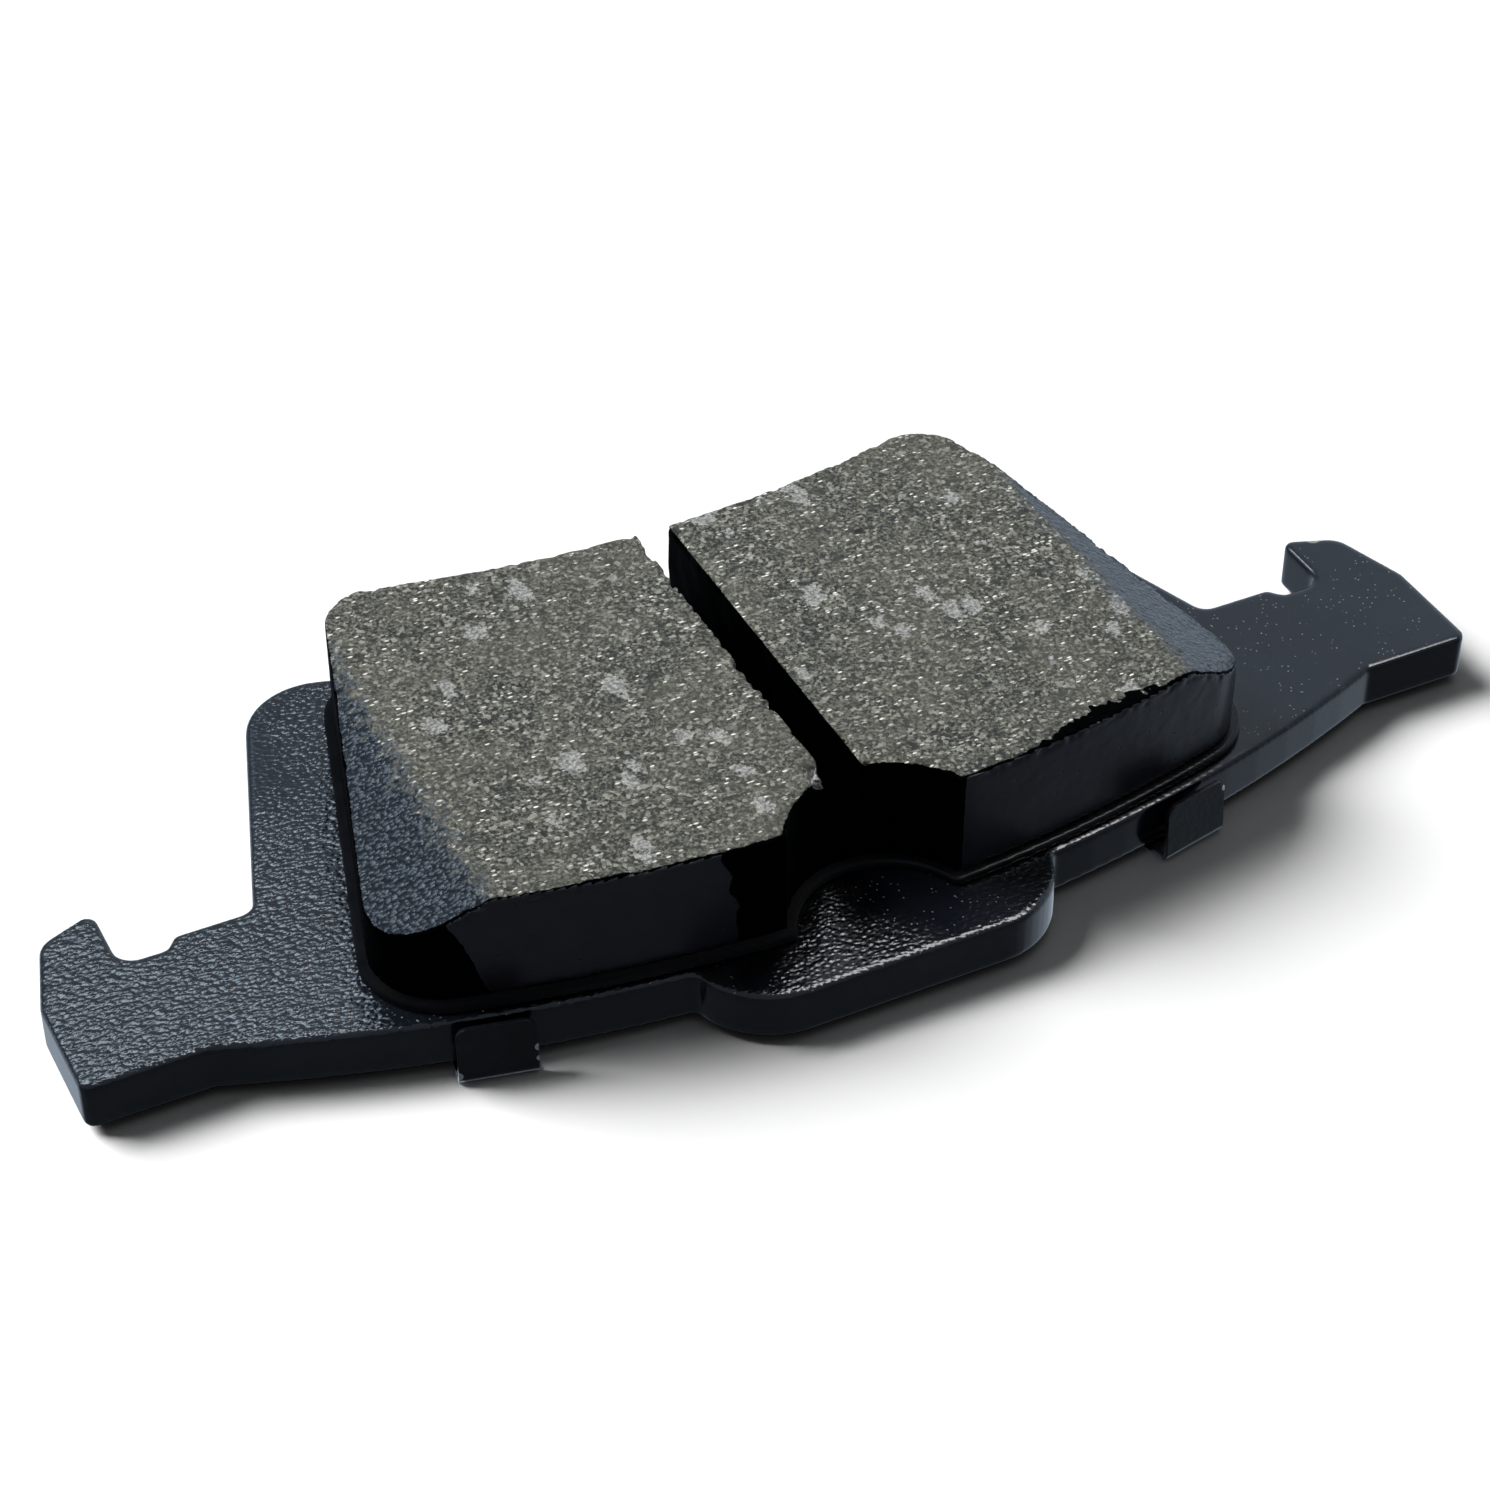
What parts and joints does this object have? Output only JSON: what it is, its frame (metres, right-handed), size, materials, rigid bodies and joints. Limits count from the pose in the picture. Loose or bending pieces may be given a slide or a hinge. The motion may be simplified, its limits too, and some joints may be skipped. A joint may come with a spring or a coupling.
{
  "type": "disc brake pad",
  "caption": "Disc brake pad: curved steel backing plate with hooked ears, a bonded slotted friction block with tapered ends, and a clipped anti-squeal shim.",
  "frame": {"origin": "middle of the pad's box, on the back face of the shim that the pad lies on", "axes": "+X along the pad, +Y towards the axis of the brake disc, +Z towards the disc's face (friction side up)"},
  "size_m": [0.123, 0.0524, 0.0151],
  "materials": {
    "plate_paint": "black gloss powder coat with orange peel over stamped steel",
    "underlayer_compound": "black oversprayed bonded compound, semi-matt",
    "friction_compound": "ground friction compound, grey-olive with light flakes and metal specks, sides oversprayed black",
    "shim_coated_steel": "thin black satin coating on sheet steel, bare at the sheared corners",
    "shim_rubber": "thin black rubber bonding layer",
    "shim_inner_steel": "bare rolled sheet steel"
  },
  "bodies": {
    "root": {"backing_plate": "plate_paint", "underlayer": "underlayer_compound", "friction_block": "friction_compound", "shim_outer_sheet": "shim_coated_steel", "shim_damping_core": "shim_rubber", "shim_inner_sheet": "shim_inner_steel"}
  },
  "joints": []
}
